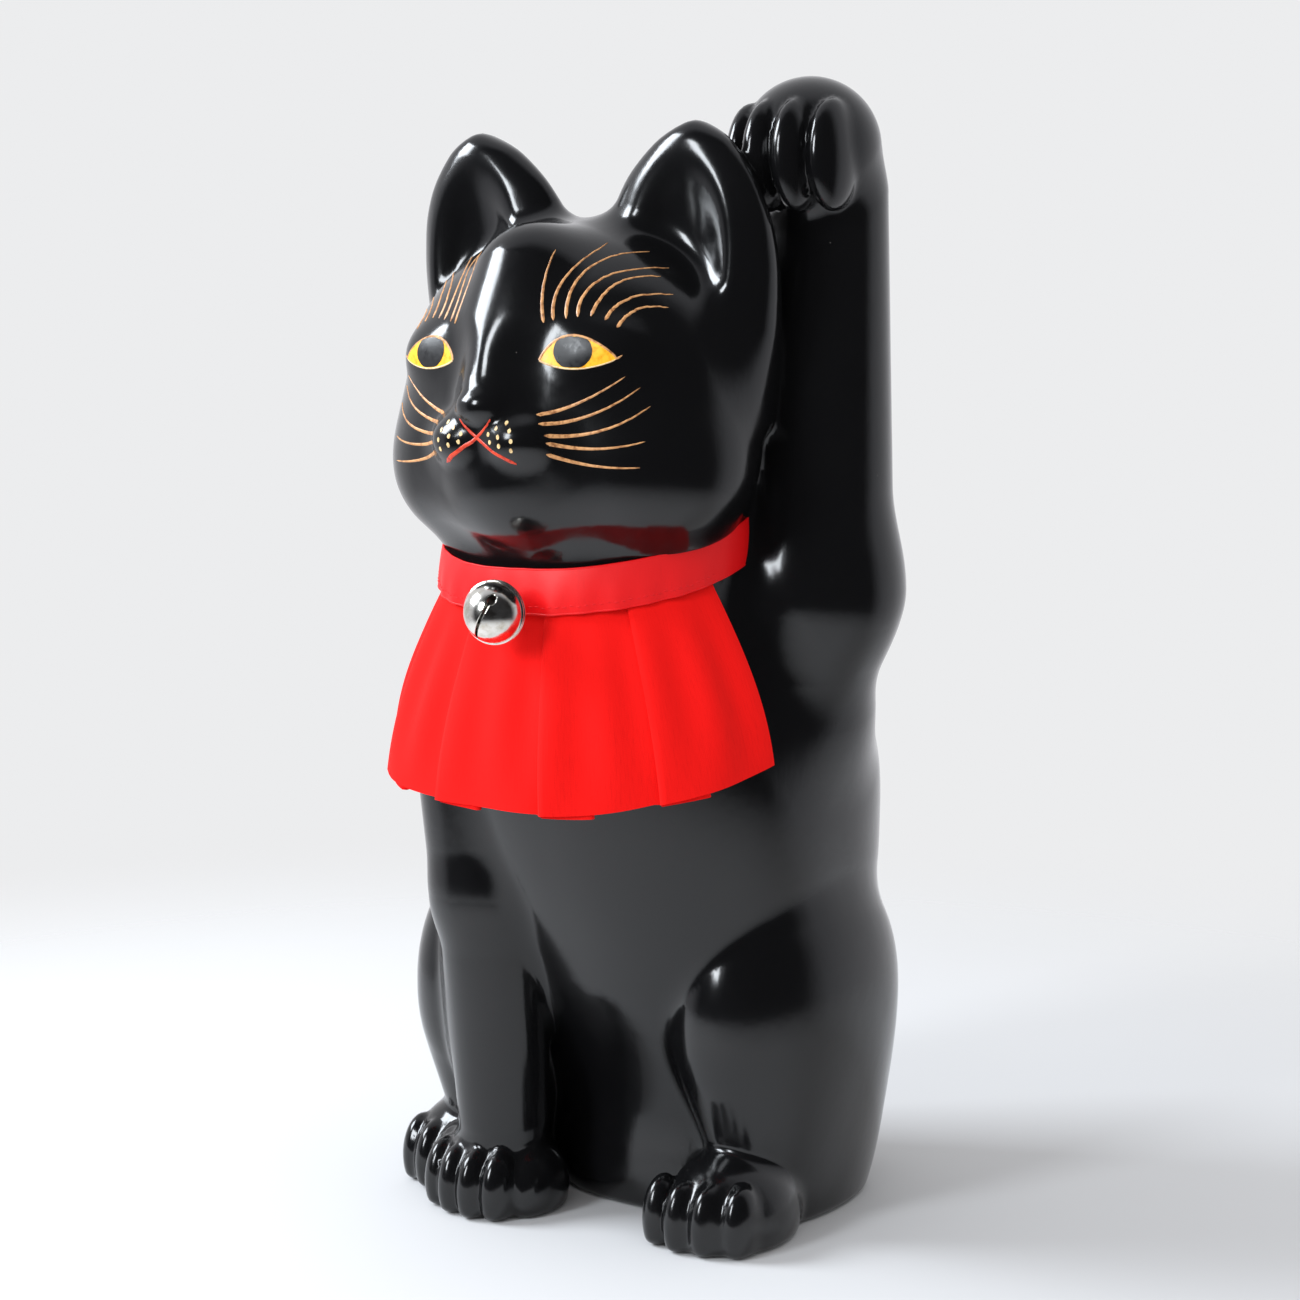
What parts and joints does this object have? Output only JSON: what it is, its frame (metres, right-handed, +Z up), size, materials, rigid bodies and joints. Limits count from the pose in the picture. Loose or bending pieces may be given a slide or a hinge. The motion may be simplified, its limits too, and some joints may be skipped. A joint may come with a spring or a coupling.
{
  "type": "beckoning cat figurine",
  "caption": "Seated hollow moulded cat figurine with one paw raised, wearing a pleated bib on a neck ribbon with a small jingle bell.",
  "frame": {"origin": "underside of the base plate, on the cat's centre line, below the chest", "axes": "+Z up, the cat faces -Y, its raised left paw is on the +X side"},
  "size_m": [0.156, 0.166, 0.3378],
  "materials": {
    "lacquer": "gloss",
    "bare_clay": "matte",
    "satin_ribbon": "satin",
    "bib_cotton": "matte",
    "sewing_thread": "matte",
    "nickel": "polished",
    "steel_pellet": "satin"
  },
  "bodies": {
    "figurine": {"front_shell": "lacquer", "rear_shell": "lacquer", "raised_arm": "lacquer", "tail": "lacquer", "base_plate": "bare_clay", "neck_ribbon": "satin_ribbon", "pleated_bib": "bib_cotton", "bow_knot": "satin_ribbon", "bow_loop_left": "satin_ribbon", "bow_loop_right": "satin_ribbon", "bow_tail_left": "satin_ribbon", "bow_tail_right": "satin_ribbon"},
    "bell_loop": {"bell_thread": "sewing_thread"},
    "bell": {"bell_shank": "nickel", "bell_rear_shell": "nickel", "bell_front_shell": "nickel"},
    "pellet": {"bell_pellet": "steel_pellet"}
  },
  "joints": [
    {"name": "bell_turn", "type": "hinge", "parent": "figurine", "child": "bell_loop", "pos_m": [0, -0.06865, 0.189], "axis": [0, 0, 1], "range_deg": [-35, 15]},
    {"name": "bell_swing", "type": "hinge", "parent": "bell_loop", "child": "bell", "pos_m": [0.00027, -0.06966, 0.189], "axis": [-0.9659, -0.2588, 0], "range_deg": [0, 25]},
    {"name": "pellet_rattle", "type": "slide", "parent": "bell", "child": "pellet", "axis": [0, 0, 1], "range_m": [0, 0.009]}
  ]
}
